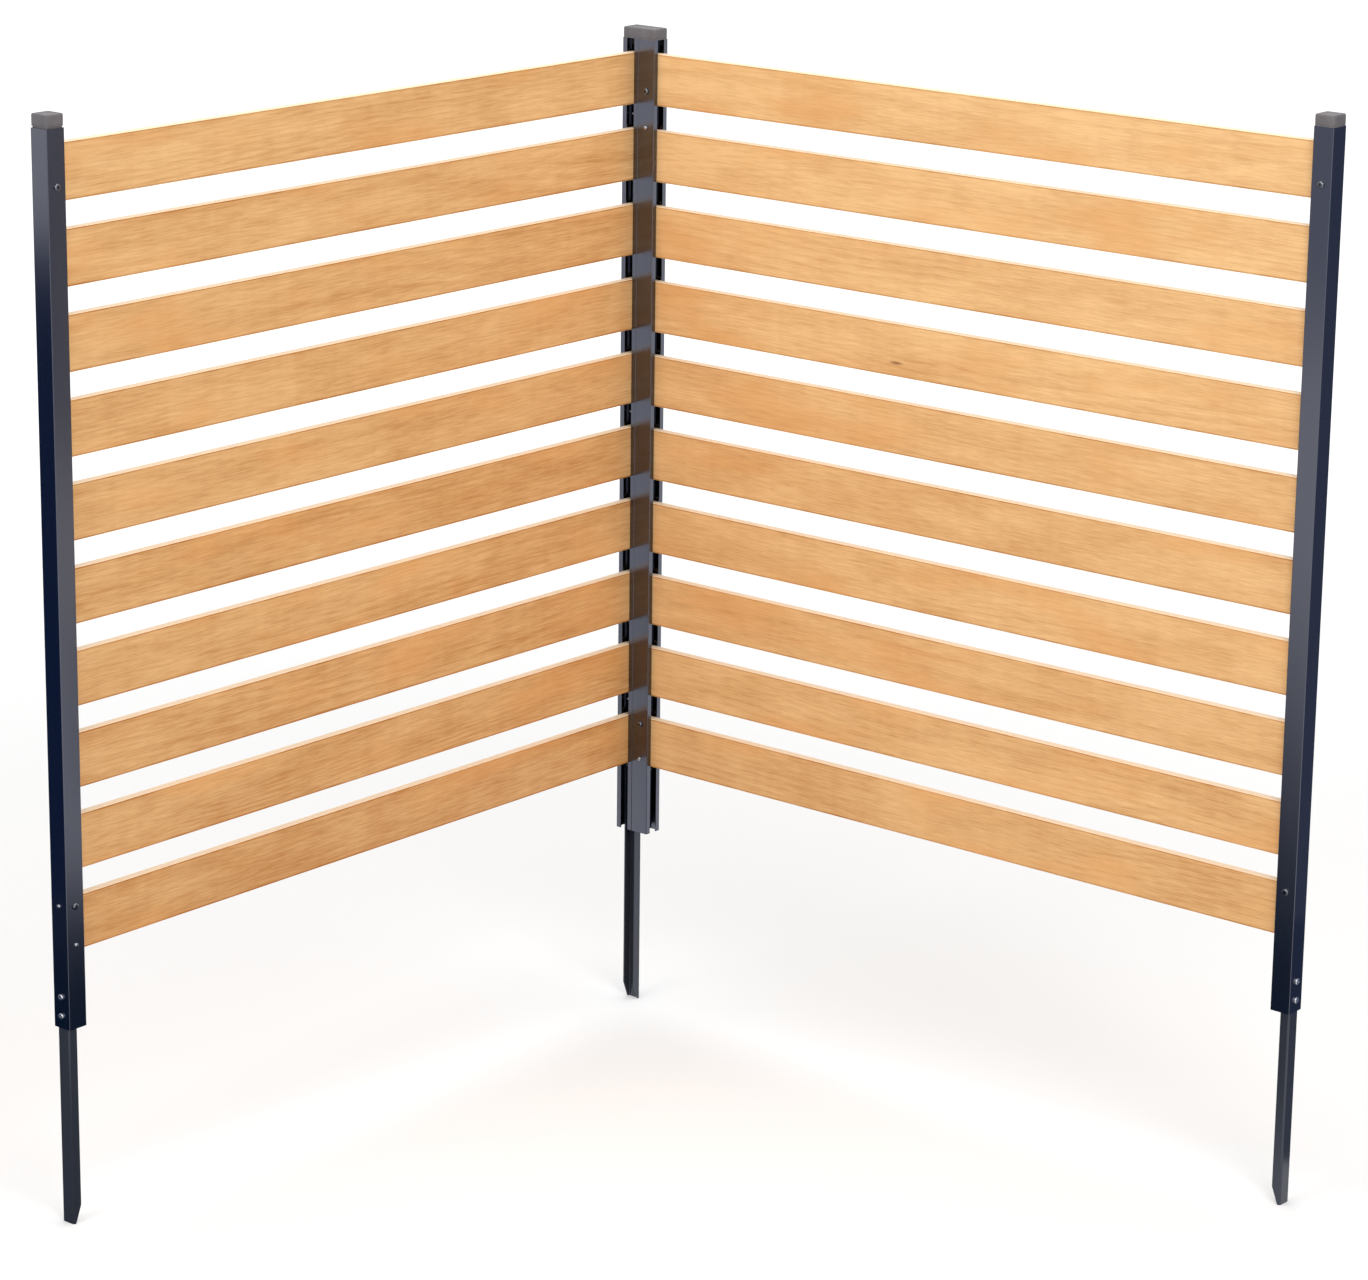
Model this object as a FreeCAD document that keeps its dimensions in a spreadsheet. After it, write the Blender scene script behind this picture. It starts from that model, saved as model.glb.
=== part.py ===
import FreeCAD, Part
import os
import re
import Sketcher

# Corner garden screen: two slatted panels that meet at a right angle. Each panel's wooden slats
# run between two slotted aluminium posts. The two corner posts stand side by side under one double
# cap, and three folded steel stakes carry the screen on the ground.
#
# The row's frame has +Z up and z = 0 at the stakes' tips. Its origin is the centre of the floor
# plan: the corner lies at -X +Y, the right panel runs along +X and the left panel along -Y.
#
# A post's own frame has x from its outer face (0) to its slotted face (post_side), y from its near
# face (0) to its far face (post_side), and z up from its bottom end.

DRIVING_SIZES = {
    # slats
    "slat_count": 10,
    "slat_height": 76,
    "slat_thickness": 13,
    "slat_edge_radius": 1.5,
    "slat_gap": 36,
    "slat_entry": 24,
    # posts
    "clear_width": 1116,
    "post_side": 30,
    "post_wall": 1.8,
    "post_corner_radius": 0.7,
    "slot_width": 14,
    "rib_offset": 12.7,
    "rib_thickness": 1.6,
    "rib_depth": 2,
    "post_above_slats": 20,
    "post_below_slats": 106,
    # combs that carry the slats' ends
    "comb_thickness": 2,
    "comb_reach": 4,
    "comb_toe": 7,
    "comb_above_seat": 45,
    # caps
    "cap_height": 16,
    "cap_wall": 2,
    "cap_edge_radius": 3,
    "plug_depth": 12,
    "left_cap_lift": 2.5,
    # stakes
    "stake_width": 22,
    "stake_flange": 14,
    "stake_thickness": 2,
    "stake_bend_radius": 1,
    "stake_reach": 280,
    "stake_entry": 100,
    "stake_tip_web": 4.5,
    "stake_tip_rise": 25,
    # pan-head screws through the posts' side walls into the top and bottom slats
    "pan_head_height": 3,
    "slat_screw_head": 9.6,
    "slat_screw_shank": 4.8,
    "slat_screw_length": 20,
    "top_screw_height": 21,
    "low_screw_height": 66,
    # small screws that pin the combs, and the one in the lowest left slat's end
    "lock_screw_head": 5.6,
    "lock_screw_head_height": 2,
    "lock_screw_shank": 3,
    "lock_screw_length": 8,
    "lock_screw_height": 11.5,
    "upper_lock_drop": 32.5,
    "grain_screw_length": 11,
    # screws that join the two corner posts
    "joining_screw_head": 9,
    "joining_screw_shank": 5,
    "joining_screw_length": 40,
    "joining_screw_offset": 9,
    # stake bolts and nuts
    "stake_bolt_head": 9,
    "stake_bolt_shank": 5,
    "stake_bolt_length": 20,
    "stake_bolt_height": 17,
    "stake_bolt_pitch": 27,
    "nut_across_flats": 8,
    "nut_height": 4,
    # heads and points
    "head_rim_share": 0.4,
    "recess_share": 0.55,
    "recess_width": 1,
    "screw_point": 3,
    "bolt_point": 0.8,
    "tip_share": 0.3,
    # clearance of the loose fits
    "fit_gap": 0.2,
    "bolt_clearance": 0.2,
}

PITCH = "(slat_height + slat_gap)"
OUTER_WIDTH = "(clear_width + 2 * post_side)"
POST_LENGTH = f"(post_below_slats + slat_count * {PITCH} - slat_gap + post_above_slats)"
CORNER_X = "(-(clear_width + post_side) / 2)"
CORNER_Y = f"({OUTER_WIDTH} / 2)"
SLAT_FACE = "((post_side - slat_thickness) / 2)"
PLUG_START = "(post_wall + fit_gap)"
PLUG_LENGTH = f"(rib_offset - fit_gap - {PLUG_START})"
PLUG_WIDTH = f"(post_side - 2 * {PLUG_START})"
PLATE_START = "(rib_offset + rib_thickness + fit_gap)"
PLATE_END = "(post_side - post_wall - fit_gap)"

# Rotations that turn +Z to the named direction.
FACING = {
    "+x": FreeCAD.Rotation(FreeCAD.Vector(0, 1, 0), 90),
    "-x": FreeCAD.Rotation(FreeCAD.Vector(0, 1, 0), -90),
    "+y": FreeCAD.Rotation(FreeCAD.Vector(1, 0, 0), -90),
    "-y": FreeCAD.Rotation(FreeCAD.Vector(1, 0, 0), 90),
    "+z": FreeCAD.Rotation(),
}

# Which way each post is turned, where its own origin stands, which of its two side faces looks at
# the inside of the corner, and which one takes the slat screws.
POSTS = {
    "left_end": {
        "angle": 90, "x": CORNER_X, "y": f"{CORNER_Y} - {OUTER_WIDTH}",
        "inside": "near", "screwed": "near",
    },
    "left_corner": {
        "angle": -90, "x": f"{CORNER_X} - post_side", "y": CORNER_Y,
        "inside": "far", "screwed": "near",
    },
    "right_corner": {
        "angle": 0, "x": CORNER_X, "y": f"{CORNER_Y} - post_side",
        "inside": "near", "screwed": "near",
    },
    "right_end": {
        "angle": 180, "x": f"{CORNER_X} + {OUTER_WIDTH}", "y": CORNER_Y,
        "inside": "far", "screwed": "far",
    },
}
STAKED_POSTS = {"left_end": "left", "left_corner": "corner", "right_end": "right"}

doc = FreeCAD.newDocument("corner_garden_screen")
sheet = doc.addObject("Spreadsheet::Sheet", "Sizes")
for row, (alias, number) in enumerate(DRIVING_SIZES.items(), start=1):
    sheet.set(f"A{row}", alias.replace("_", " "))
    sheet.set(f"B{row}", str(number))
    sheet.setAlias(f"B{row}", alias)
doc.recompute()

nodes = []


def sized(text):
    """Refer every size name in an expression to the sheet."""
    return re.sub(r"[a-z]+(?:_[a-z]+)+", r"Sizes.\g<0>", text)


def value(text):
    """Present value of an expression in millimetres."""
    return float(sheet.evalExpression(sized(text)))


def bind(item, **sizes):
    """Tie an object's properties to expressions."""
    for name, text in sizes.items():
        item.setExpression(name, sized(text))
    return item


def place(item, spot, turn=FACING["+z"]):
    """Turn an object and tie its place to three expressions."""
    item.Placement = FreeCAD.Placement(FreeCAD.Vector(), turn)
    for axis, text in zip("xyz", spot):
        item.setExpression(".Placement.Base." + axis, sized(text))
    return item


def new_body(label):
    """Start the body of a node."""
    body = doc.addObject("PartDesign::Body", label)
    body.Label = label
    nodes.append(body)
    return body


def origin_feature(body, role):
    """Find one of a body's own origin planes or axes."""
    return next(feature for feature in body.Origin.OriginFeatures if feature.Role == role)


def outline(body, name, role, corners):
    """Draw a closed outline on one of the body's planes, with every corner tied to sizes."""
    sketch = body.newObject("Sketcher::SketchObject", name)
    sketch.AttachmentSupport = [(origin_feature(body, role), "")]
    sketch.MapMode = "FlatFace"
    points = [FreeCAD.Vector(value(across), value(up), 0) for across, up in corners]
    for start, end in zip(points, points[1:] + points[:1]):
        sketch.addGeometry(Part.LineSegment(start, end), False)
    for line in range(len(corners)):
        following = (line + 1) % len(corners)
        sketch.addConstraint(Sketcher.Constraint("Coincident", line, 2, following, 1))
    for line, corner in enumerate(corners):
        for kind, axis_line, text in zip(("DistanceX", "DistanceY"), (-2, -1), corner):
            if text == "0":
                sketch.addConstraint(Sketcher.Constraint("PointOnObject", line, 1, axis_line))
                continue
            distance = Sketcher.Constraint(kind, -1, 1, line, 1, value(text))
            number = sketch.addConstraint(distance)
            sketch.setExpression(f"Constraints[{number}]", sized(text))
    return sketch


def pad(body, sketch, length):
    """Extrude an outline."""
    feature = body.newObject("PartDesign::Pad", sketch.Name + "_pad")
    feature.Profile = sketch
    return bind(feature, Length=length)


def box(body, kind, name, spot, length, width, height):
    """Add ("Additive") or cut ("Subtractive") a block in a body."""
    feature = body.newObject(f"PartDesign::{kind}Box", name)
    return place(bind(feature, Length=length, Width=width, Height=height), spot)


def drill(body, name, diameter, depth, spot, direction):
    """Cut a round hole that starts at a spot and runs in a direction."""
    feature = body.newObject("PartDesign::SubtractiveCylinder", name)
    bind(feature, Radius=f"({diameter}) / 2", Height=depth)
    return place(feature, spot, FACING[direction])


def round_edges(body, name, radius, chosen):
    """Round the edges of the body's present shape that the test chooses."""
    doc.recompute()
    base = body.Tip
    limits = base.Shape.BoundBox
    edges = [f"Edge{number}" for number, edge in enumerate(base.Shape.Edges, start=1) if chosen(edge, limits)]
    feature = body.newObject("PartDesign::Fillet", name)
    feature.Base = (base, edges)
    return bind(feature, Radius=radius)


def runs_along(edge, axis):
    """Whether an edge is straight and parallel to an axis."""
    ends = [vertex.Point for vertex in edge.Vertexes]
    if len(ends) != 2:
        return False
    span = (ends[1] - ends[0]).normalize()
    return abs(abs(getattr(span, axis)) - 1) < 1e-6


def at_corner(edge, limits, first, second):
    """Whether an edge lies at a corner of the shape's box in the two named directions."""
    middle = edge.BoundBox.Center
    near = 1e-4
    return all(
        min(abs(getattr(middle, axis) - getattr(limits, axis.upper() + "Min")),
            abs(getattr(middle, axis) - getattr(limits, axis.upper() + "Max"))) < near
        for axis in (first, second)
    )


def slat_bottom(slats_below):
    """Height of a slat's lower edge above the posts' bottom ends."""
    return f"(post_below_slats + {slats_below} * {PITCH})"


def from_side(side, depth):
    """A post's y at a depth behind its near or far face."""
    return depth if side == "near" else f"post_side - ({depth})"


def inward(side):
    """Direction from a post's side face into the post."""
    return "+y" if side == "near" else "-y"


def outward(side):
    """Direction from a post's side face away from the post."""
    return "-y" if side == "near" else "+y"


def in_row(post, across, up_to, height):
    """Row coordinates of a point given in a post's own frame."""
    turned = {
        0: (across, up_to),
        90: (f"-({up_to})", across),
        180: (f"-({across})", f"-({up_to})"),
        -90: (up_to, f"-({across})"),
    }[post["angle"]]
    return (f"{post['x']} + ({turned[0]})", f"{post['y']} + ({turned[1]})", f"stake_reach + ({height})")


def post_turn(post):
    """Rotation of a post about the vertical."""
    return FreeCAD.Rotation(FreeCAD.Vector(0, 0, 1), post["angle"])


def make_slat(panel, number, slats_below):
    """One slat, with pilot holes where the post's screws enter the top and the bottom one."""
    body = new_body(f"{panel}_slat_{number:02d}")
    section = [("0", "0"), ("slat_thickness", "0"), ("slat_thickness", "slat_height"), ("0", "slat_height")]
    length = "(clear_width + 2 * slat_entry)"
    pad(body, outline(body, body.Name + "_section", "YZ_Plane", section), length)
    round_edges(body, body.Name + "_rounding", "slat_edge_radius",
                lambda edge, limits: runs_along(edge, "x") and at_corner(edge, limits, "y", "z"))
    screw_height = {value("slat_count") - 1: "top_screw_height", 0: "low_screw_height"}.get(slats_below)
    depth = f"slat_screw_length - {SLAT_FACE}"
    corner_end = "slat_entry - post_side / 2"
    far_end = f"{length} - ({corner_end})"
    if screw_height:
        # A left slat's y runs from the outside of the corner to the inside, a right slat's the other way.
        far_side, far_direction = ("slat_thickness", "-y") if panel == "left" else ("0", "+y")
        drill(body, body.Name + "_corner_pilot", "slat_screw_shank", depth,
              (corner_end, "0", screw_height), "+y")
        drill(body, body.Name + "_far_pilot", "slat_screw_shank", depth,
              (far_end, far_side, screw_height), far_direction)
    if panel == "left" and slats_below == 0:
        drill(body, body.Name + "_grain_pilot", "lock_screw_shank",
              "grain_screw_length - (post_side - slat_entry)",
              (length, "slat_thickness / 2", screw_height), "-x")
    height = f"stake_reach + {slat_bottom(slats_below)}"
    if panel == "left":
        start = (f"{CORNER_X} - (post_side + slat_thickness) / 2",
                 f"{CORNER_Y} - post_side + slat_entry", height)
        place(body, start, FreeCAD.Rotation(FreeCAD.Vector(0, 0, 1), -90))
    else:
        start = (f"{CORNER_X} + post_side - slat_entry",
                 f"{CORNER_Y} - (post_side + slat_thickness) / 2", height)
        place(body, start)


def slat_screw_heights():
    """Heights of a post's two slat screws above its bottom end."""
    return [f"{slat_bottom(value('slat_count') - 1)} + top_screw_height",
            f"{slat_bottom(0)} + low_screw_height"]


def lock_screw_heights(name):
    """Heights of the small screws that pin a post's comb."""
    low = f"{slat_bottom(0)} + lock_screw_height"
    high = f"{slat_bottom(value('slat_count') - 1)} - upper_lock_drop"
    return {"left_end": [low], "right_corner": [high, low]}.get(name, [])


def stake_bolt_heights():
    """Heights of a staked post's two bolts above its bottom end."""
    return ["stake_bolt_height", "stake_bolt_height + stake_bolt_pitch"]


def joining_screw_heights():
    """Heights of the screws between the corner posts, each behind a gap between slats."""
    count = int(value("slat_count"))
    return [f"{slat_bottom(slats_below)} - slat_gap / 2" for slats_below in (1, count // 2, count - 1)]


def make_post(name, post):
    """One slotted post with a pair of guide ribs and its own screw holes."""
    body = new_body(f"{name}_post")
    lip = "(post_side - slot_width) / 2"
    inner = "post_side - post_wall"
    rib_end = "rib_offset + rib_thickness"
    rib_top = "post_wall + rib_depth"
    lower = [("0", "0"), ("post_side", "0"), ("post_side", lip), (inner, lip), (inner, "post_wall"),
             (rib_end, "post_wall"), (rib_end, rib_top), ("rib_offset", rib_top),
             ("rib_offset", "post_wall"), ("post_wall", "post_wall")]
    upper = [(across, "post_side" if up == "0" else f"post_side - ({up})") for across, up in reversed(lower)]
    section = outline(body, body.Name + "_section", "XY_Plane", lower + upper)
    pad(body, section, POST_LENGTH)
    round_edges(body, body.Name + "_rounding", "post_corner_radius",
                lambda edge, limits: runs_along(edge, "z") and at_corner(edge, limits, "x", "y"))
    side = post["screwed"]
    centre = "post_side / 2"
    for number, height in enumerate(slat_screw_heights()):
        drill(body, f"{name}_slat_hole_{number}", "slat_screw_shank", SLAT_FACE,
              (centre, from_side(side, "0"), height), inward(side))
    for number, height in enumerate(lock_screw_heights(name)):
        drill(body, f"{name}_lock_hole_{number}", "lock_screw_shank", SLAT_FACE,
              (centre, from_side(post["inside"], "0"), height), inward(post["inside"]))
    to_slat_end = "post_side - slat_entry"
    if name == "left_end":
        drill(body, "grain_hole", "lock_screw_shank", to_slat_end,
              ("0", centre, slat_screw_heights()[1]), "+x")
    if name in STAKED_POSTS:
        for number, height in enumerate(stake_bolt_heights()):
            drill(body, f"{name}_bolt_hole_{number}", "stake_bolt_shank + bolt_clearance", to_slat_end,
                  ("0", centre, height), "+x")
    for number, height in enumerate(joining_screw_heights()):
        if name == "left_corner":
            drill(body, f"left_joining_hole_{number}", "joining_screw_shank", "post_side",
                  ("joining_screw_offset", "0", height), "+y")
        if name == "right_corner":
            drill(body, f"right_joining_hole_{number}", "joining_screw_shank", to_slat_end,
                  ("0", "post_side - joining_screw_offset", height), "+x")
    place(body, in_row(post, "0", "0", "0"), post_turn(post))


def make_comb(name, post):
    """Strip behind the post's lip, with a shelf under every slat's end and a foot on the stake."""
    body = new_body(f"{name}_comb")
    side = post["inside"]
    plate_width = f"{PLATE_END} - {PLATE_START}"
    shelf_depth = f"{SLAT_FACE} + comb_reach - post_wall"
    toe_depth = f"{SLAT_FACE} + comb_reach - post_wall - rib_depth - fit_gap"
    shelf_end = f"{SLAT_FACE} + comb_reach"
    plate_side = from_side(side, "post_wall" if side == "near" else "post_wall + comb_thickness")
    shelf_side = from_side(side, "post_wall" if side == "near" else shelf_end)
    toe_side = from_side(side, "post_wall + rib_depth + fit_gap" if side == "near" else shelf_end)
    top = slat_bottom(value("slat_count") - 1)
    box(body, "Additive", f"{name}_comb_plate", (PLATE_START, plate_side, "stake_entry"),
        plate_width, "comb_thickness", f"{top} + comb_above_seat - stake_entry")
    box(body, "Additive", f"{name}_comb_foot", (PLATE_START, shelf_side, "stake_entry"),
        plate_width, shelf_depth, "comb_thickness")
    box(body, "Additive", f"{name}_comb_toe", ("comb_toe", toe_side, "stake_entry"),
        f"{PLATE_END} - comb_toe", toe_depth, "comb_thickness")
    shelf = box(body, "Additive", f"{name}_comb_shelf",
                (PLATE_START, shelf_side, f"{slat_bottom(0)} - comb_thickness"),
                plate_width, shelf_depth, "comb_thickness")
    shelves = body.newObject("PartDesign::LinearPattern", f"{name}_comb_shelves")
    shelves.Originals = [shelf]
    shelves.Direction = (origin_feature(body, "Z_Axis"), [""])
    bind(shelves, Length=f"(slat_count - 1) * {PITCH}", Occurrences="slat_count")
    body.Tip = shelves
    centre = "post_side / 2"
    if post["screwed"] == side:
        for number, height in enumerate(slat_screw_heights()):
            drill(body, f"{name}_comb_slat_hole_{number}", "slat_screw_shank", SLAT_FACE,
                  (centre, from_side(side, "0"), height), inward(side))
    for number, height in enumerate(lock_screw_heights(name)):
        drill(body, f"{name}_comb_lock_hole_{number}", "lock_screw_shank", SLAT_FACE,
              (centre, from_side(side, "0"), height), inward(side))
    place(body, in_row(post, "0", "0", "0"), post_turn(post))


def add_plug(body, name, spot, size):
    """Hollow plug under a cap that fills a post's closed pocket, behind the guide ribs."""
    for kind, part, wall, rise in (("Additive", "plug", "0", "cap_wall"),
                                   ("Subtractive", "hollow", "cap_wall", "cap_height - cap_wall")):
        start = [f"{text} + {wall}" for text in spot]
        length, width = (f"{text} - 2 * {wall}" for text in size)
        box(body, kind, f"{name}_{part}", (*start, "-plug_depth"), length, width, f"plug_depth + {rise}")


def make_cap(name, length, plugs, spot, turn):
    """Moulded cap, flush with the posts that it covers, with a plug into each of them."""
    body = new_body(name)
    plan = [("0", "0"), (length, "0"), (length, "post_side"), ("0", "post_side")]
    pad(body, outline(body, f"{name}_plan", "XY_Plane", plan), "cap_height")
    round_edges(body, f"{name}_rounding", "cap_edge_radius",
                lambda edge, limits: runs_along(edge, "z") or edge.BoundBox.ZMin > limits.ZMax / 2)
    for number, (start, size) in enumerate(plugs):
        add_plug(body, f"{name}_{number}", start, size)
    place(body, spot, turn)


def make_caps():
    """A cap for each end post and the double cap that locks the corner."""
    straight = (PLUG_LENGTH, PLUG_WIDTH)
    for name, lift in (("left_end", "left_cap_lift"), ("right_end", "0")):
        post = POSTS[name]
        make_cap(f"{name}_cap", "post_side", [((PLUG_START, PLUG_START), straight)],
                 in_row(post, "0", "0", f"{POST_LENGTH} + {lift}"), post_turn(post))
    # The left corner post is turned, so that its pocket lies along the back of the double cap.
    turned = (PLUG_WIDTH, PLUG_LENGTH)
    plugs = [((PLUG_START, f"post_side - {PLUG_START} - {PLUG_LENGTH}"), turned),
             ((f"post_side + {PLUG_START}", PLUG_START), straight)]
    spot = (f"{CORNER_X} - post_side", f"{CORNER_Y} - post_side", f"stake_reach + {POST_LENGTH}")
    make_cap("corner_cap", "2 * post_side", plugs, spot, FACING["+z"])


def make_stake(name, post):
    """Folded channel with its web on the post's outer wall and its flanges cut to a point."""
    body = new_body(f"{name}_stake")
    inner = "stake_width - stake_thickness"
    section = [("0", "0"), ("stake_flange", "0"), ("stake_flange", "stake_thickness"),
               ("stake_thickness", "stake_thickness"), ("stake_thickness", inner),
               ("stake_flange", inner), ("stake_flange", "stake_width"), ("0", "stake_width")]
    pad(body, outline(body, f"{name}_stake_section", "XY_Plane", section), "stake_reach + stake_entry")
    round_edges(body, f"{name}_outer_bends", "stake_bend_radius + stake_thickness",
                lambda edge, limits: runs_along(edge, "z") and edge.BoundBox.XMax < 1e-4)
    round_edges(body, f"{name}_inner_bends", "stake_bend_radius",
                lambda edge, limits: runs_along(edge, "z")
                and abs(edge.BoundBox.XMax - value("stake_thickness")) < 1e-4
                and abs(edge.BoundBox.Center.y - value("stake_width") / 2) > value("stake_width") / 2
                - value("stake_thickness") - 1e-4)
    tip = [("stake_tip_web", "0"), ("stake_flange", "0"), ("stake_flange", "stake_tip_rise")]
    cut = body.newObject("PartDesign::Pocket", f"{name}_stake_tip")
    cut.Profile = outline(body, f"{name}_tip_outline", "XZ_Plane", tip)
    cut.Type = "ThroughAll"
    cut.SideType = "Symmetric"
    for number, height in enumerate(stake_bolt_heights()):
        drill(body, f"{name}_stake_hole_{number}", "stake_bolt_shank + bolt_clearance", "stake_thickness",
              ("0", "stake_width / 2", f"stake_reach + {height}"), "+x")
    place(body, in_row(post, "post_wall", "(post_side - stake_width) / 2", "-stake_reach"), post_turn(post))


def solid(kind, name, **sizes):
    """Part primitive whose sizes are tied to expressions."""
    return bind(doc.addObject(f"Part::{kind}", name), **sizes)


def fastener(name, head, head_height, shank, length, point):
    """Blank and cross recess of a screw whose axis is Z, with z = 0 under its head."""
    domed = f"((1 - head_rim_share) * {head_height})"
    dome_radius = f"(({head} / 2) ^ 2 + {domed} ^ 2) / (2 * {domed})"
    disc = solid("Cylinder", f"{name}_disc", Radius=f"{head} / 2", Height=head_height)
    ball = place(solid("Sphere", f"{name}_dome", Radius=dome_radius),
                 ("0", "0", f"{head_height} - {dome_radius}"))
    crown = doc.addObject("Part::Common", f"{name}_head")
    crown.Base = disc
    crown.Tool = ball
    stem = place(solid("Cylinder", f"{name}_shank", Radius=f"{shank} / 2", Height=f"{length} - {point}"),
                 ("0", "0", f"{point} - {length}"))
    cone = place(solid("Cone", f"{name}_point", Radius1=f"tip_share * {shank} / 2", Radius2=f"{shank} / 2",
                       Height=point), ("0", "0", f"-{length}"))
    blank = doc.addObject("Part::MultiFuse", f"{name}_blank")
    blank.Shapes = [crown, stem, cone]
    depth = f"(recess_share * {head_height})"
    arm = f"(recess_share * {head})"
    bottom = f"{head_height} - {depth}"
    bars = [
        place(solid("Box", f"{name}_bar_x", Length=arm, Width="recess_width", Height=f"2 * {depth}"),
              (f"-{arm} / 2", "-recess_width / 2", bottom)),
        place(solid("Box", f"{name}_bar_y", Length="recess_width", Width=arm, Height=f"2 * {depth}"),
              ("-recess_width / 2", f"-{arm} / 2", bottom)),
    ]
    cross = doc.addObject("Part::MultiFuse", f"{name}_recess")
    cross.Shapes = bars
    return blank, cross


def fasten(name, made_of, spots):
    """Node of identical fasteners: each one is the blank less its recess, at its own spot."""
    blank, recess = made_of
    placed = []
    for number, (spot, turn) in enumerate(spots, start=1):
        item = doc.addObject("Part::Cut", f"{name}_{number}")
        item.Base = blank
        item.Tool = recess
        placed.append(place(item, spot, turn))
    if len(placed) == 1:
        node = placed[0]
    else:
        node = doc.addObject("Part::Compound", name)
        node.Links = placed
    node.Label = name
    nodes.append(node)


def make_fasteners():
    """Every screw, bolt and nut, driven into its own hole."""
    slat_screw = fastener("slat_screw", "slat_screw_head", "pan_head_height", "slat_screw_shank",
                          "slat_screw_length", "screw_point")
    lock_screw = fastener("lock_screw", "lock_screw_head", "lock_screw_head_height", "lock_screw_shank",
                          "lock_screw_length", "screw_point")
    grain_screw = fastener("grain_screw", "lock_screw_head", "lock_screw_head_height", "lock_screw_shank",
                           "grain_screw_length", "screw_point")
    joining_screw = fastener("joining_screw", "joining_screw_head", "pan_head_height", "joining_screw_shank",
                             "joining_screw_length", "screw_point")
    stake_bolt = fastener("stake_bolt", "stake_bolt_head", "pan_head_height", "stake_bolt_shank",
                          "stake_bolt_length", "bolt_point")
    nut = (solid("Prism", "nut_blank", Circumradius="nut_across_flats / sqrt(3)", Height="nut_height"),
           solid("Cylinder", "nut_bore", Radius="stake_bolt_shank / 2", Height="nut_height"))
    centre = "post_side / 2"

    for name, post in POSTS.items():
        turn = post_turn(post)
        side = post["screwed"]
        fasten(f"{name}_slat_screws", slat_screw,
               [(in_row(post, centre, from_side(side, "0"), height), turn * FACING[outward(side)])
                for height in slat_screw_heights()])
        side = post["inside"]
        locks = [(in_row(post, centre, from_side(side, "0"), height), turn * FACING[outward(side)])
                 for height in lock_screw_heights(name)]
        if locks:
            fasten(f"{name}_lock_screw" + ("s" if len(locks) > 1 else ""), lock_screw, locks)
        if name in STAKED_POSTS:
            stake = STAKED_POSTS[name]
            seat = "post_wall + stake_thickness"
            fasten(f"{stake}_stake_bolts", stake_bolt,
                   [(in_row(post, "0", centre, height), turn * FACING["-x"])
                    for height in stake_bolt_heights()])
            fasten(f"{stake}_stake_nuts", nut,
                   [(in_row(post, seat, centre, height), turn * FACING["+x"])
                    for height in stake_bolt_heights()])

    post = POSTS["left_end"]
    fasten("left_end_grain_screw", grain_screw,
           [(in_row(post, "0", centre, slat_screw_heights()[1]), post_turn(post) * FACING["-x"])])
    post = POSTS["left_corner"]
    fasten("corner_joining_screws", joining_screw,
           [(in_row(post, "joining_screw_offset", "0", height), post_turn(post) * FACING["-y"])
            for height in joining_screw_heights()])


def check_document():
    """Stop if any object failed or any node has no valid shape."""
    for item in doc.Objects:
        if "Invalid" in item.State or "Error" in item.State:
            raise RuntimeError(f"{item.Name} failed: {item.State}")
    for node in nodes:
        if node.Shape.isNull() or not node.Shape.isValid():
            raise RuntimeError(f"{node.Label} has no valid shape")


for panel_name in ("left", "right"):
    total = int(value("slat_count"))
    for slat_number in range(1, total + 1):
        make_slat(panel_name, slat_number, total - slat_number)
for post_name, post_facts in POSTS.items():
    make_post(post_name, post_facts)
    make_comb(post_name, post_facts)
make_caps()
for post_name, stake_name in STAKED_POSTS.items():
    make_stake(stake_name, POSTS[post_name])
make_fasteners()

doc.recompute()
check_document()
os.makedirs("parts", exist_ok=True)
for node in nodes:
    node.Shape.exportStep(f"parts/{node.Label}.step")
    print(node.Label, len(node.Shape.Solids), "solid(s),", round(node.Shape.Volume), "mm3")
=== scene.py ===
import math

import bpy
from mathutils import Matrix, Vector


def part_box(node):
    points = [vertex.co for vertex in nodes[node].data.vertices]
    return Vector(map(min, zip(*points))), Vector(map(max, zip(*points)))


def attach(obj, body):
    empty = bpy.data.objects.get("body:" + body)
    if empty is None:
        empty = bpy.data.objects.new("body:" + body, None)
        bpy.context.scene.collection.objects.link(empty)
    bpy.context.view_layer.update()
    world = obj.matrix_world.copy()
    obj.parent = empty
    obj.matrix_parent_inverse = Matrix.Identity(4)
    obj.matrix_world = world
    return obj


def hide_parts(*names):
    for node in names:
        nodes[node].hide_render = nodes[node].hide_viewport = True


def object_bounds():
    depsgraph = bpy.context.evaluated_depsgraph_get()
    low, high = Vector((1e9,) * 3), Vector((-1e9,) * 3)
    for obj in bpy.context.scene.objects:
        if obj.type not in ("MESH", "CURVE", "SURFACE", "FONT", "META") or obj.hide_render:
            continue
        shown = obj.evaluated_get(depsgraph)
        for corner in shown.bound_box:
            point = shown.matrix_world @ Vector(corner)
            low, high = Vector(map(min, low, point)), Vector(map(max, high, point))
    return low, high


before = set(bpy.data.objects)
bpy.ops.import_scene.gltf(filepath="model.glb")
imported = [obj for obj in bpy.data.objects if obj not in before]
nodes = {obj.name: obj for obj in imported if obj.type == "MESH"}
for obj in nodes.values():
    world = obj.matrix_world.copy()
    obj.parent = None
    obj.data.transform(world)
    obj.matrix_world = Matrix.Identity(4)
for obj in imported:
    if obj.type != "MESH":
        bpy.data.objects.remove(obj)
cadLow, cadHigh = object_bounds()
print("frame loaded:", len(nodes), "nodes")

# a surface's colour is written in screen levels, 0 to 255, and turned to linear light here
def screenColour(red, green, blue):
    linear = []
    for level in (red, green, blue):
        share = level / 255
        linear.append(share / 12.92 if share <= 0.04045 else ((share + 0.055) / 1.055) ** 2.4)
    return (*linear, 1)


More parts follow.
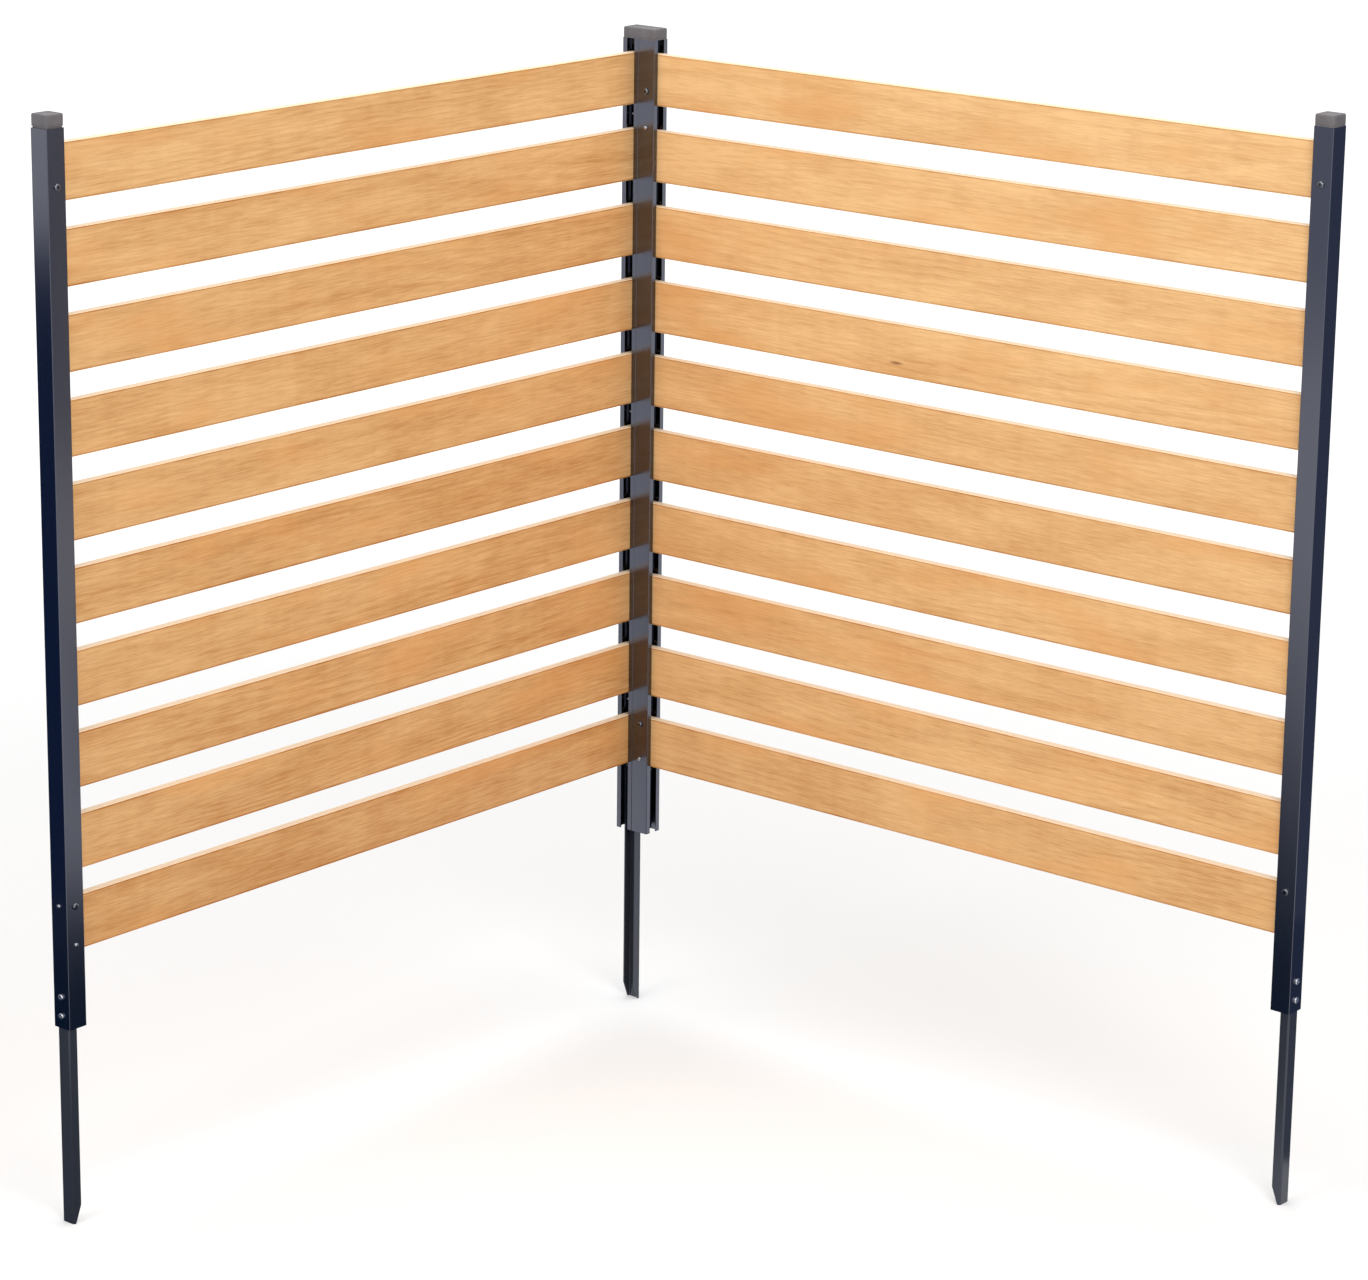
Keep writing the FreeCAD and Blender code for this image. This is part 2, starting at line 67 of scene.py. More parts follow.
# camera first, so that every later look is judged in the same picture
cameraSettings = {
    "location": (3.5299, -4.2296, 2.3715),
    "turn": (75.053, -0.448, 40.963),   # degrees about X, Y and Z
    "lens": 114.406,
    "shift": (0.05, -0.05),             # keeps the posts a little more upright
    "sensorWidth": 36,
    "clipEnd": 200,
}


def addCamera():
    turn = [math.radians(angle) for angle in cameraSettings["turn"]]
    bpy.ops.object.camera_add(location=cameraSettings["location"], rotation=turn)
    camera = bpy.context.object
    camera.name = "camera"
    camera.data.lens = cameraSettings["lens"]
    camera.data.sensor_width = cameraSettings["sensorWidth"]
    camera.data.shift_x, camera.data.shift_y = cameraSettings["shift"]
    camera.data.clip_end = cameraSettings["clipEnd"]
    bpy.context.scene.camera = camera


addCamera()
print("camera placed")


# small helpers for shader trees
def addNode(tree, kind, at=(0, 0), **settings):
    node = tree.nodes.new(kind)
    node.location = (at[0] * 200, at[1] * 160)
    for name, setting in settings.items():
        setattr(node, name, setting)
    return node


def feed(tree, socket, source):
    if isinstance(source, bpy.types.NodeSocket):
        tree.links.new(source, socket)
    else:
        socket.default_value = source


def mathNode(tree, operation, first, second=0.0, third=None, clamp=False):
    node = addNode(tree, "ShaderNodeMath", operation=operation, use_clamp=clamp)
    feed(tree, node.inputs[0], first)
    feed(tree, node.inputs[1], second)
    if third is not None:
        feed(tree, node.inputs[2], third)
    return node.outputs[0]


def rangeNode(tree, source, fromLow, fromHigh, toLow=0.0, toHigh=1.0):
    node = addNode(tree, "ShaderNodeMapRange")
    node.interpolation_type = "SMOOTHSTEP"
    feed(tree, node.inputs["Value"], source)
    node.inputs["From Min"].default_value = fromLow
    node.inputs["From Max"].default_value = fromHigh
    node.inputs["To Min"].default_value = toLow
    node.inputs["To Max"].default_value = toHigh
    return node.outputs["Result"]


def stretched(tree, vector, scale, offset=(0, 0, 0)):
    node = addNode(tree, "ShaderNodeMapping")
    feed(tree, node.inputs["Vector"], vector)
    node.inputs["Scale"].default_value = scale
    node.inputs["Location"].default_value = offset
    return node.outputs["Vector"]


def noiseNode(tree, vector, detail=2.0, roughness=0.5):
    # the vector is already stretched, so the texture's own scale is 1
    node = addNode(tree, "ShaderNodeTexNoise")
    feed(tree, node.inputs["Vector"], vector)
    node.inputs["Scale"].default_value = 1.0
    node.inputs["Detail"].default_value = detail
    node.inputs["Roughness"].default_value = roughness
    return node.outputs["Fac"]


def mixColours(tree, factor, first, second):
    node = addNode(tree, "ShaderNodeMix", data_type="RGBA", blend_type="MIX")
    feed(tree, node.inputs["Factor"], factor)
    feed(tree, node.inputs[6], first)
    feed(tree, node.inputs[7], second)
    return node.outputs[2]


def startGroup(name, inputs, outputs):
    group = bpy.data.node_groups.new(name, "ShaderNodeTree")
    for label, kind in inputs:
        group.interface.new_socket(name=label, in_out="INPUT", socket_type="NodeSocket" + kind)
    for label, kind in outputs:
        group.interface.new_socket(name=label, in_out="OUTPUT", socket_type="NodeSocket" + kind)
    start = addNode(group, "NodeGroupInput", at=(-8, 0))
    end = addNode(group, "NodeGroupOutput", at=(8, 0))
    return group, start.outputs, end.inputs


# wood: growth rings cut through by a board, with fibre, pores, drifting tone, resin lines and a rare knot
# stretch is a pattern's fineness along the board, through it and across it
# range is the two levels that it is read between and, where given, what they become
grainPatterns = {
    "drift": {"stretch": (1.3, 2.0, 5.0)},
    "waver": {"stretch": (9.0, 20.0, 40.0), "detail": 2.0},
    "ringStrength": {"stretch": (1.7, 3.0, 22.0), "offset": (5, 2, 1), "range": (0.35, 0.75, 0.15, 1.0)},
    "fibre": {"stretch": (24.0, 420.0, 480.0), "detail": 3.0, "rough": 0.65,
              "range": (0.32, 0.70, -0.10, 0.16)},
    "pores": {"stretch": (70.0, 1500.0, 2100.0), "range": (0.60, 0.74)},
    "blotch": {"stretch": (6.0, 4.0, 26.0), "offset": (3, 1, 4), "detail": 3.0, "rough": 0.6,
               "range": (0.30, 0.72, 0.08, 0.30)},
    "figure": {"stretch": (42.0, 6.0, 7.0), "offset": (2, 5, 1), "range": (0.35, 0.68, -0.015, 0.03)},
    "resin": {"stretch": (1.1, 4.0, 46.0), "offset": (8, 3, 6), "range": (0.745, 0.80)},
    "blush": {"stretch": (5.0, 3.0, 15.0), "offset": (1, 7, 2), "detail": 2.0,
              "range": (0.48, 0.74, 0.0, 0.45)},
}
grainSettings = {
    "ringsPerMetre": 330.0,
    "ringRise": (0.35, 0.9),            # where late wood starts within a ring
    "ringFall": (1.0, 0.93),            # and where it ends
    # the rings' centre lies this far from the frame's origin, so over half a metre from either panel
    "pithDepth": 0.035,
    "driftReach": 0.085,                # metres by which each pattern moves the rings, at most
    "waverReach": 0.0035,
    "knotReach": 0.012,
    "knotStretch": (1.3, 0.2, 6.0),
    "knotCore": (0.026, 0.010),
    "knotHalo": (0.15, 0.02),
    # painted shade along the slats' rounded arrises is read between these levels
    "paintedArrisShadeInside": (-0.0012, 0.0),
    "paintedArrisShadeOutside": (0.0014, 0.0004),
    # painted highlight on the slats' top faces is read between these levels
    "toplightEdge": (0.0005, 0.0014, 0.0, 0.85),
    "roughness": (0.3, 0.7, 0.46, 0.60),
    # how much each mask darkens the wood
    "shade": {"lateWood": 0.14, "pores": 0.08, "knotHalo": 0.20, "resin": 0.30, "paintedArrisShade": 0.45},
    # and how much it lowers or raises the surface, beside the fibre's 1
    "height": {"pores": -0.35, "lateWood": 0.45},
}


def makeWoodGroup():
    group, given, result = startGroup(
        "slatGrain",
        [("Vector", "Vector"), ("Tone", "Float"), ("Pith", "Float"), ("Arris", "Float"),
         ("Light", "Color"), ("Dark", "Color"), ("Blush", "Color"), ("Planed", "Color"), ("Knot", "Color")],
        [("Color", "Color"), ("Roughness", "Float"), ("Height", "Float")],
    )
    vector = given["Vector"]
    depths, heights = grainSettings["shade"], grainSettings["height"]

    def woodMath(operation, first, second, third=None, clamp=False):
        return mathNode(group, operation, first, second, third, clamp)

    def masked(source, name):
        return rangeNode(group, source, *grainSettings[name])

    def pattern(name):
        chosen = grainPatterns[name]
        spread = stretched(group, vector, chosen["stretch"], chosen.get("offset", (0, 0, 0)))
        return noiseNode(group, spread, detail=chosen.get("detail", 1.0), roughness=chosen.get("rough", 0.5))

    def patternMask(name):
        return rangeNode(group, pattern(name), *grainPatterns[name]["range"])

    # the knots bend the rings around them
    cells = addNode(group, "ShaderNodeTexVoronoi", feature="F1")
    feed(group, cells.inputs["Vector"], stretched(group, vector, grainSettings["knotStretch"]))
    cells.inputs["Scale"].default_value = 1.0
    knotCore = masked(cells.outputs["Distance"], "knotCore")
    knotHalo = masked(cells.outputs["Distance"], "knotHalo")
    parts = addNode(group, "ShaderNodeSeparateXYZ")
    feed(group, parts.inputs[0], vector)

    # distance of a point of the board from the pith that the rings grew around
    across = woodMath("ADD", parts.outputs["Z"], given["Pith"])
    for source, reach in ((pattern("drift"), "driftReach"), (pattern("waver"), "waverReach"),
                          (knotHalo, "knotReach")):
        across = woodMath("MULTIPLY_ADD", source, grainSettings[reach], across)
    through = woodMath("ADD", parts.outputs["Y"], grainSettings["pithDepth"])
    squares = woodMath("ADD", woodMath("MULTIPLY", across, across), woodMath("MULTIPLY", through, through))
    ringRadius = mathNode(group, "SQRT", squares)
    ring = mathNode(group, "FRACT", woodMath("MULTIPLY", ringRadius, grainSettings["ringsPerMetre"]))
    lateWood = woodMath("MULTIPLY", masked(ring, "ringRise"), masked(ring, "ringFall"))
    lateWood = woodMath("MULTIPLY", lateWood, patternMask("ringStrength"))

    fibre = pattern("fibre")
    pores = patternMask("pores")
    shade = woodMath("MULTIPLY", lateWood, depths["lateWood"])
    fibreMask = rangeNode(group, fibre, *grainPatterns["fibre"]["range"])
    for part in (patternMask("blotch"), fibreMask, patternMask("figure")):
        shade = woodMath("ADD", shade, part)
    # painted shade: a dark band along each slat's rounded top and bottom arrises
    paintedArrisShade = woodMath("SUBTRACT", mathNode(group, "ABSOLUTE", parts.outputs["Z"]), given["Arris"])
    paintedArrisShade = woodMath("MULTIPLY", masked(paintedArrisShade, "paintedArrisShadeInside"), masked(paintedArrisShade, "paintedArrisShadeOutside"))
    for mask, name in ((pores, "pores"), (knotHalo, "knotHalo"), (patternMask("resin"), "resin"),
                       (paintedArrisShade, "paintedArrisShade")):
        shade = woodMath("MULTIPLY_ADD", mask, depths[name], shade)
    shade = woodMath("ADD", shade, given["Tone"], clamp=True)

    colour = mixColours(group, shade, given["Light"], given["Dark"])
    colour = mixColours(group, patternMask("blush"), colour, given["Blush"])
    # painted highlight: each slat's top face is mixed towards the pale toplight colour, as light from above
    # makes it look
    planed = woodMath("SUBTRACT", parts.outputs["Z"], given["Arris"])
    colour = mixColours(group, masked(planed, "toplightEdge"), colour, given["Planed"])
    feed(group, result["Color"], mixColours(group, knotCore, colour, given["Knot"]))
    feed(group, result["Roughness"], masked(fibre, "roughness"))
    height = woodMath("MULTIPLY_ADD", pores, heights["pores"], fibre)
    feed(group, result["Height"], woodMath("MULTIPLY_ADD", lateWood, heights["lateWood"], height))
    return group


# long faint lines of an extrusion or a rolled sheet, along Z
drawnSettings = {
    "lines": (900.0, 900.0, 1.5),
    "cloud": (14.0, 14.0, 3.0),
    "specks": (420.0, 420.0, 420.0),
    "speckRange": (0.70, 0.80),
    "speckWear": 0.25,
    "cloudWear": (0.45, 0.8, 0.0, 0.35),
    "middle": 0.5,                      # the cloud's level at which the roughness is as given
}


def makeDrawnGroup():
    group, given, result = startGroup(
        "drawnLines",
        [("Vector", "Vector"), ("Base", "Color"), ("Worn", "Color"),
         ("Roughness", "Float"), ("Spread", "Float")],
        [("Color", "Color"), ("Roughness", "Float"), ("Height", "Float")],
    )
    lines = noiseNode(group, stretched(group, given["Vector"], drawnSettings["lines"]), detail=2.0)
    cloud = noiseNode(group, stretched(group, given["Vector"], drawnSettings["cloud"]), detail=3.0)
    specks = noiseNode(group, stretched(group, given["Vector"], drawnSettings["specks"]))
    specks = rangeNode(group, specks, *drawnSettings["speckRange"])
    wear = rangeNode(group, cloud, *drawnSettings["cloudWear"])
    wear = mathNode(group, "MULTIPLY_ADD", specks, drawnSettings["speckWear"], wear)
    feed(group, result["Color"], mixColours(group, wear, given["Base"], given["Worn"]))
    lean = mathNode(group, "SUBTRACT", cloud, drawnSettings["middle"])
    lean = mathNode(group, "MULTIPLY", lean, given["Spread"])
    feed(group, result["Roughness"], mathNode(group, "ADD", given["Roughness"], lean))
    feed(group, result["Height"], lines)
    return group


# the fine even grain of a spark-eroded mould
mouldedSettings = {
    "grain": (1800.0, 1800.0, 1800.0),
    "cloud": (60.0, 60.0, 60.0),
    "dustRange": (0.4, 0.8, 0.0, 0.6),
    "roughness": (0.3, 0.7, 0.42, 0.56),
}


def makeMouldedGroup():
    group, given, result = startGroup(
        "mouldedGrain",
        [("Vector", "Vector"), ("Base", "Color"), ("Dusty", "Color")],
        [("Color", "Color"), ("Roughness", "Float"), ("Height", "Float")],
    )
    grain = noiseNode(group, stretched(group, given["Vector"], mouldedSettings["grain"]), detail=2.0)
    cloud = noiseNode(group, stretched(group, given["Vector"], mouldedSettings["cloud"]), detail=3.0)
    dust = rangeNode(group, cloud, *mouldedSettings["dustRange"])
    feed(group, result["Color"], mixColours(group, dust, given["Base"], given["Dusty"]))
    feed(group, result["Roughness"], rangeNode(group, grain, *mouldedSettings["roughness"]))
    feed(group, result["Height"], grain)
    return group


def startMaterial(name, group, settings):
    material = bpy.data.materials.new(name)
    material.use_nodes = True
    tree = material.node_tree
    shader = tree.nodes["Principled BSDF"]
    coordinates = addNode(tree, "ShaderNodeTexCoord", at=(-6, 0))
    mapping = addNode(tree, "ShaderNodeMapping", at=(-5, 0))
    effect = addNode(tree, "ShaderNodeGroup", at=(-3, 0), node_tree=group)
    bump = addNode(tree, "ShaderNodeBump", at=(-1, -2))
    bump.inputs["Strength"].default_value = settings["bumpStrength"]
    bump.inputs["Distance"].default_value = settings["bumpDistance"]
    tree.links.new(coordinates.outputs["Object"], mapping.inputs["Vector"])
    tree.links.new(mapping.outputs["Vector"], effect.inputs["Vector"])
    tree.links.new(effect.outputs["Color"], shader.inputs["Base Color"])
    tree.links.new(effect.outputs["Roughness"], shader.inputs["Roughness"])
    tree.links.new(effect.outputs["Height"], bump.inputs["Height"])
    tree.links.new(bump.outputs["Normal"], shader.inputs["Normal"])
    return material, mapping, effect.inputs, shader.inputs


woodSettings = {
    "light": (236, 192, 135),
    "dark": (172, 102, 24),
    "blush": (224, 160, 95),
    # painted highlight: the colour of a slat's top face lit from above
    "planed": (245, 222, 192),
    "knot": (120, 68, 34),
    "arrisWidth": 0.0018,
    "bumpDistance": 0.00012,
    "bumpStrength": 0.6,
    # how much each slat leans to the dark tone, from the top slat down: each slat's own tone, with painted
    # shade that makes the lower slats darker
    "leftTones": (0.06, 0.09, 0.13, 0.14, 0.15, 0.25, 0.19, 0.24, 0.26, 0.32),
    "rightTones": (-0.10, -0.10, -0.03, -0.05, 0.03, 0.07, 0.05, 0.09, 0.08, 0.13),
    # how far below each board's middle its growth rings are centred, in metres
    "leftPiths": (0.16, -0.12, 0.05, 0.21, -0.02, 0.13, -0.17, 0.08, 0.24, -0.07),
    "rightPiths": (0.02, 0.19, 0.09, -0.14, 0.17, -0.05, 0.22, 0.04, -0.2, 0.15),
    "offsetStep": 3.7,                  # metres of timber between one slat and the next
    "rightOffset": 50,                  # and between the two panels
    "specular": 0.35,
}


def makeWood(group, panel, number):
    material, mapping, effect, shader = startMaterial(
        f"wood{panel.capitalize()}{number:02d}", group, woodSettings)
    turn = math.radians(90) if panel == "left" else 0.0
    low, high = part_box(f"{panel}_slat_{number:02d}")
    middle = (low + high) / 2
    along = middle.y if panel == "left" else middle.x
    # the grain runs along X after the turn, and the board's own middle is brought to z = 0
    mapping.inputs["Rotation"].default_value = (0, 0, turn)
    step = number * woodSettings["offsetStep"] + (0 if panel == "left" else woodSettings["rightOffset"])
    mapping.inputs["Location"].default_value = (step - along, 0, -middle.z)
    for name in ("light", "dark", "blush", "planed", "knot"):
        effect[name.capitalize()].default_value = screenColour(*woodSettings[name])
    effect["Arris"].default_value = (high.z - low.z) / 2 - woodSettings["arrisWidth"]
    effect["Tone"].default_value = woodSettings[f"{panel}Tones"][number - 1]
    effect["Pith"].default_value = woodSettings[f"{panel}Piths"][number - 1]
    shader["Specular IOR Level"].default_value = woodSettings["specular"]
    return material


metalSettings = {
    "bumpDistance": 0.00003,
    "bumpStrength": 0.25,
    "anodisedAluminium": {"base": (102, 104, 115), "worn": (112, 114, 123),
                          "roughness": 0.20, "spread": 0.06, "metallic": 1.0},
    "stakeSteel": {"base": (62, 66, 76), "worn": (86, 89, 96),
                   "roughness": 0.20, "spread": 0.08, "metallic": 0.5},
    "brightScrewSteel": {"base": (196, 198, 202), "worn": (150, 152, 156),
                         "roughness": 0.24, "spread": 0.10, "metallic": 1.0},
    # painted shade: a darker copy of the screw steel for the pan heads, standing for the dark post that they
    # reflect
    "panScrewShadedSteel": {"base": (116, 118, 124), "worn": (90, 92, 98),
                      "roughness": 0.15, "spread": 0.06, "metallic": 1.0},
}


def makeMetal(name, group):
    material, _, effect, shader = startMaterial(name, group, metalSettings)
    finish = metalSettings[name]
    effect["Base"].default_value = screenColour(*finish["base"])
    effect["Worn"].default_value = screenColour(*finish["worn"])
    effect["Roughness"].default_value = finish["roughness"]
    effect["Spread"].default_value = finish["spread"]
    shader["Metallic"].default_value = finish["metallic"]
    return material


plasticSettings = {
    "bumpDistance": 0.00004,
    "bumpStrength": 0.5,
    "capPlastic": {"base": (93, 89, 92), "dusty": (110, 106, 108)},
    "combPlastic": {"base": (34, 34, 37), "dusty": (48, 48, 51)},
}


def makePlastic(name, group):
    material, _, effect, _ = startMaterial(name, group, plasticSettings)
    finish = plasticSettings[name]
    effect["Base"].default_value = screenColour(*finish["base"])
    effect["Dusty"].default_value = screenColour(*finish["dusty"])
    return material


woodGroup = makeWoodGroup()
drawnGroup = makeDrawnGroup()
mouldedGroup = makeMouldedGroup()
anodised = makeMetal("anodisedAluminium", drawnGroup)
stakeSteel = makeMetal("stakeSteel", drawnGroup)
bright = makeMetal("brightScrewSteel", drawnGroup)
paintedShadeScrewSteel = makeMetal("panScrewShadedSteel", drawnGroup)
capPlastic = makePlastic("capPlastic", mouldedGroup)
combPlastic = makePlastic("combPlastic", mouldedGroup)
print("materials made")


# every CAD node takes its finish here, and caps and fasteners are modelled again further down
def dress(name, material):
    for slot in nodes[name].material_slots:
        slot.material = material


for nodeName in nodes:
    if "_slat_0" in nodeName or "_slat_10" in nodeName:
        panelName = nodeName.split("_")[0]
        dress(nodeName, makeWood(woodGroup, panelName, int(nodeName[-2:])))
    elif nodeName.endswith("_post"):
        dress(nodeName, anodised)
    elif nodeName.endswith("_stake"):
        dress(nodeName, stakeSteel)
    elif nodeName.endswith("_comb"):
        dress(nodeName, combPlastic)
    elif nodeName.endswith("_cap"):
        dress(nodeName, capPlastic)
    else:
        dress(nodeName, bright)
print("CAD nodes dressed")


# modelling helpers: everything is deselected before a piece is added or joined
def clearSelection():
    for item in bpy.context.selected_objects:
        item.select_set(False)


def enterEdit(piece, kind, chosen):
    # the chosen faces or edges, and their corners, are all that is selected in edit mode
    mesh = piece.data
    for family in (mesh.vertices, mesh.edges, mesh.polygons):
        for part in family:
            part.select = False
    for part in chosen:
        part.select = True
        for index in part.vertices:
            mesh.vertices[index].select = True
    bpy.context.view_layer.objects.active = piece
    bpy.context.tool_settings.mesh_select_mode = (False, kind == "edge", kind == "face")
    bpy.ops.object.mode_set(mode="EDIT")


def pickFaces(piece, test):
    bpy.ops.object.mode_set(mode="OBJECT")
    enterEdit(piece, "face", [face for face in piece.data.polygons if test(face)])


def pickEdges(piece, test):
    bpy.ops.object.mode_set(mode="OBJECT")
    corners = piece.data.vertices
    enterEdit(piece, "edge", [edge for edge in piece.data.edges
                              if test(*(corners[index].co for index in edge.vertices))])


def applyModifiers(piece):
    bpy.context.view_layer.objects.active = piece
    for modifier in list(piece.modifiers):
        bpy.ops.object.modifier_apply(modifier=modifier.name)


def settle(piece):
    # the piece's place goes into its mesh
    bpy.ops.object.mode_set(mode="OBJECT")
    clearSelection()
    piece.select_set(True)
    bpy.context.view_layer.objects.active = piece
    bpy.ops.object.transform_apply(location=True, rotation=True, scale=True)


def finishPiece(piece, name, material, replaced):
    piece.name = name
    piece.data.materials.clear()
    piece.data.materials.append(material)
    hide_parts(replaced)
    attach(piece, "root")


# moulded caps: a rounded lid with a sunk field and a shadow groove, over hollow plugs
capSettings = {
    "height": 0.016,
    "cornerRadius": 0.003,
    "cornerSteps": 6,
    "topRadius": 0.0024,
    "topSteps": 5,
    "fieldInset": 0.0042,
    "fieldSlope": 0.0005,
    "fieldDepth": 0.0004,
    "grooveHeight": 0.0016,
    "grooveWidth": 0.0009,
    "grooveDepth": 0.0004,
    "grooveSlope": 0.0001,
    "neckInset": 0.0016,
    "plugGap": 0.002,
    "plugReach": 0.0125,        # from the post's outer face to the near side of its ribs
    "plugDepth": 0.012,
    "plugWall": 0.002,
    "plugRadius": 0.0006,
    "plugRoot": 0.001,          # how far the plug and the neck reach into the lid
    "smoothAngle": 40,
}


def near(first, second, slack=1e-5):
    return abs(first - second) < slack


def isUpright(first, second):
    return near(first.x, second.x) and near(first.y, second.y)


def addBlock(low, high, radius):
    clearSelection()
    bpy.ops.mesh.primitive_cube_add(size=1, location=(low + high) / 2, scale=high - low)
    block = bpy.context.object
    settle(block)
    pickEdges(block, isUpright)
    bpy.ops.mesh.bevel(offset=radius, segments=capSettings["cornerSteps"], affect="EDGES")
    return block


def stepInward(size, inset, rise):
    # the selected flat face is drawn in from every side and moved up or down
    bpy.ops.mesh.extrude_region_move(TRANSFORM_OT_translate={"value": (0, 0, rise)})
    bpy.ops.transform.resize(value=(1 - 2 * inset / size.x, 1 - 2 * inset / size.y, 1))
    return size - Vector((2 * inset, 2 * inset, 0))


def makeLid(low, high):
    lid = addBlock(low, high, capSettings["cornerRadius"])
    pickEdges(lid, lambda first, second: near(first.z, high.z) and near(second.z, high.z))
    bpy.ops.mesh.bevel(offset=capSettings["topRadius"], segments=capSettings["topSteps"], affect="EDGES")
    pickFaces(lid, lambda face: face.normal.z > 0.999 and near(face.center.z, high.z))
    size = high - low - Vector((2 * capSettings["topRadius"], 2 * capSettings["topRadius"], 0))
    size = stepInward(size, capSettings["fieldInset"] - capSettings["topRadius"], 0)
    stepInward(size, capSettings["fieldSlope"], -capSettings["fieldDepth"])
    grooveLow = low.z + capSettings["grooveHeight"]
    for height in (grooveLow, grooveLow + capSettings["grooveWidth"]):
        pickFaces(lid, lambda face: abs(face.normal.z) < 0.01)
        bpy.ops.mesh.bisect(plane_co=(0, 0, height), plane_no=(0, 0, 1))
    middle = grooveLow + capSettings["grooveWidth"] / 2
    pickFaces(lid, lambda face: abs(face.normal.z) < 0.01 and near(face.center.z, middle, 1e-4))
    bpy.ops.mesh.inset(thickness=capSettings["grooveSlope"], depth=-capSettings["grooveDepth"])
    bpy.ops.object.mode_set(mode="OBJECT")
    return lid


# the side of each post that its closed pocket lies on, away from the slot
outerSides = {
    "left_end_post": "-y",
    "left_corner_post": "+y",
    "right_corner_post": "-x",
    "right_end_post": "+x",
}


def makePlug(post, lidBottom):
    # a hollow plug that fills the pocket behind the guide ribs
    low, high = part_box(post)
    gap, reach = capSettings["plugGap"], capSettings["plugReach"]
    plugLow = Vector((low.x + gap, low.y + gap, lidBottom - capSettings["plugDepth"]))
    plugHigh = Vector((high.x - gap, high.y - gap, lidBottom + capSettings["plugRoot"]))
    side, axis = outerSides[post][0], "xy".index(outerSides[post][1])
    if side == "-":
        plugHigh[axis] = low[axis] + reach
    else:
        plugLow[axis] = high[axis] - reach
    plug = addBlock(plugLow, plugHigh, capSettings["plugRadius"])
    pickFaces(plug, lambda face: face.normal.z < -0.999)
    size = stepInward(plugHigh - plugLow, capSettings["plugWall"], 0)
    stepInward(size, 0, capSettings["plugDepth"])
    bpy.ops.object.mode_set(mode="OBJECT")
    return plug


def makeNeck(post, lidBottom):
    # a cap that isn't pushed home shows its neck above the post
    low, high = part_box(post)
    drawIn = Vector((capSettings["neckInset"], capSettings["neckInset"], 0))
    neckHigh = Vector((high.x, high.y, lidBottom + capSettings["plugRoot"]))
    return addBlock(Vector((low.x, low.y, high.z)) + drawIn, neckHigh - drawIn, capSettings["plugRadius"])


def makeCap(capName, postNames, pieceName):
    boxes = [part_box(post) for post in postNames]
    low = Vector(min(box[0][axis] for box in boxes) for axis in range(3))
    high = Vector(max(box[1][axis] for box in boxes) for axis in range(3))
    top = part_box(capName)[1].z
    bottom = top - capSettings["height"]
    plugs = [makePlug(post, bottom) for post in postNames]
    if bottom > high.z + capSettings["plugRoot"]:
        plugs += [makeNeck(post, bottom) for post in postNames]
    lid = makeLid(Vector((low.x, low.y, bottom)), Vector((high.x, high.y, top)))
    clearSelection()
    for part in plugs + [lid]:
        part.select_set(True)
    bpy.context.view_layer.objects.active = lid
    bpy.ops.object.join()
    bpy.ops.object.shade_smooth_by_angle(angle=math.radians(capSettings["smoothAngle"]))
    finishPiece(lid, pieceName, capPlastic, capName)


makeCap("left_end_cap", ["left_end_post"], "leftEndCapMoulding")
makeCap("right_end_cap", ["right_end_post"], "rightEndCapMoulding")
makeCap("corner_cap", ["left_corner_post", "right_corner_post"], "cornerCapMoulding")
print("caps modelled")


# fasteners: domed head with a cross recess, threaded shank and point, axis along Z
# spin is the turn in degrees from one recess to the next, or the grain screw's own turn
fastenerSettings = {
    "slatScrew": {"head": 0.0096, "rise": 0.0029, "shank": 0.0048, "length": 0.020,
                  "pitch": 0.0018, "point": 0.0035, "spin": 31},
    "lockScrew": {"head": 0.0056, "rise": 0.002, "shank": 0.003, "length": 0.008,
                  "pitch": 0.0012, "point": 0.0025, "spin": 41},
    "grainScrew": {"head": 0.0056, "rise": 0.002, "shank": 0.003, "length": 0.011,
                   "pitch": 0.0012, "point": 0.0025, "spin": 12},
    "joiningScrew": {"head": 0.009, "rise": 0.0029, "shank": 0.005, "length": 0.040,
                     "pitch": 0.0018, "point": 0.0035, "spin": 29},
    "stakeBolt": {"head": 0.009, "rise": 0.0029, "shank": 0.005, "length": 0.020,
                  "pitch": 0.0008, "point": 0.0006, "spin": 53},
}
# dome, rim and recessDepth are shares of the head's rise, recessLength and recessWidth of its radius,
# the floor's two of the recess's mouth, and the spins are in degrees
headSettings = {
    "sides": 40, "dome": 0.66, "domeSteps": 6, "domeProfile": 0.55, "rim": 0.06, "rimSteps": 2,
    "recessLength": 1.2, "recessWidth": 0.32, "recessDepth": 1.3, "floorLength": 0.35, "floorWidth": 0.55,
    "firstSpin": 17, "postSpin": 23, "smoothAngle": 35,
}
# core is a share of the shank's radius, root and tip of the core's, flank of the pitch, overlap in metres
threadSettings = {"sides": 20, "core": 0.84, "root": 0.97, "flank": 0.42, "tip": 0.3, "overlap": 0.0002}


